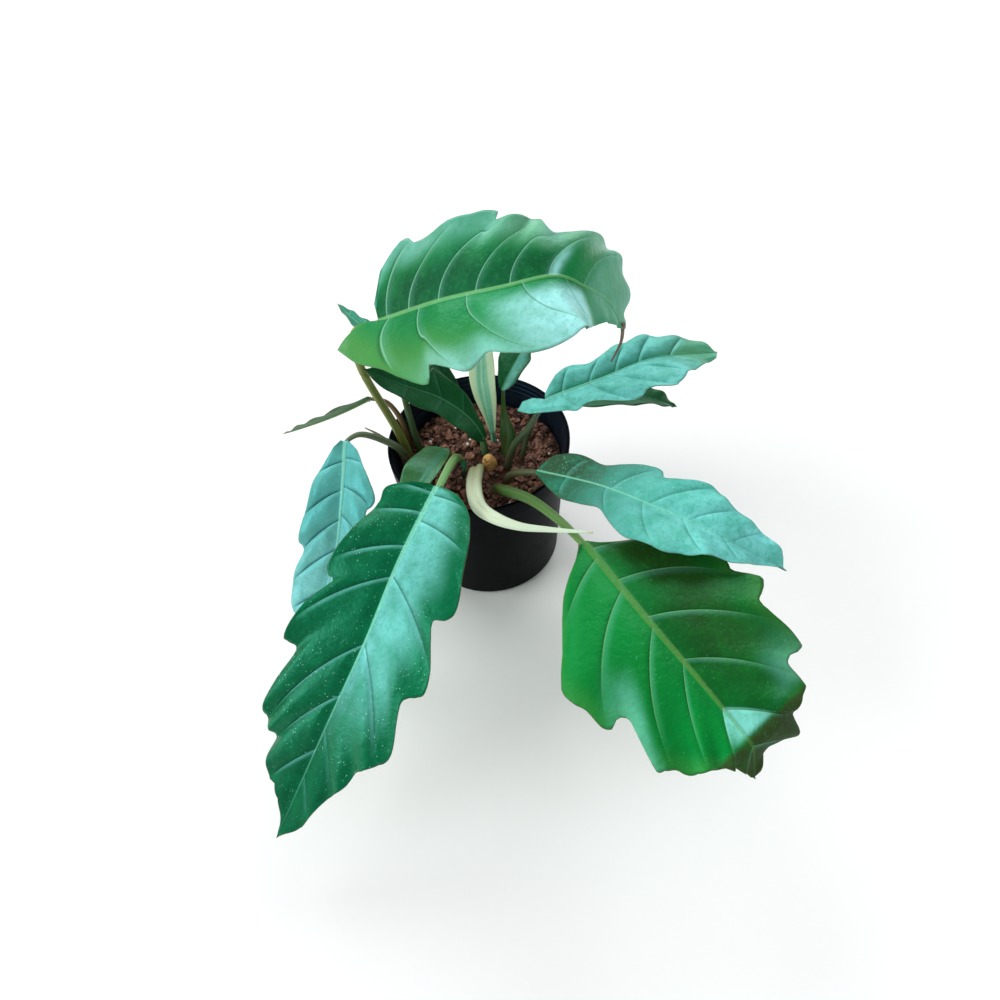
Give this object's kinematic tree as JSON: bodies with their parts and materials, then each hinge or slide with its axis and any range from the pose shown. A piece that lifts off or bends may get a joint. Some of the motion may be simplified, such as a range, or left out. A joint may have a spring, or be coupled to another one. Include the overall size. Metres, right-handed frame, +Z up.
{
  "type": "potted philodendron",
  "caption": "Aroid house plant with narrow, toothed, arching leaves on long stalks, growing from coco soil in a round black nursery pot.",
  "frame": {"origin": "centre of the pot's base, on the surface that it stands on", "axes": "+Z up, -Y towards the side where the two largest leaves hang over the rim, +X to the right seen from that side"},
  "size_m": [0.267, 0.3004, 0.2516],
  "materials": {
    "pot": "black, slightly satin",
    "soil": "rough red-brown coco chips with white perlite",
    "leaf": "satin green with pale midrib and fine side veins",
    "cataphyll": "smooth pale grey-green",
    "dry_fibre": "dry and dull",
    "stalk_stub": "dull orange-tan"
  },
  "bodies": {
    "root": {"pot": "pot", "soil": "soil", "cataphyll": "cataphyll", "dry_strand": "dry_fibre", "stalk_stub": "stalk_stub", "leaf_front_left": "leaf", "leaf_front_right": "leaf", "leaf_top": "leaf", "leaf_far_left": "leaf", "leaf_right": "leaf", "leaf_upper_right": "leaf", "leaf_under_right": "leaf", "leaf_left_slim": "leaf", "leaf_back_left": "leaf", "leaf_folded": "leaf", "leaf_young": "leaf", "leaf_rear": "leaf", "leaf_behind": "leaf", "leaf_short": "leaf", "leaf_tiny": "leaf"}
  },
  "joints": []
}
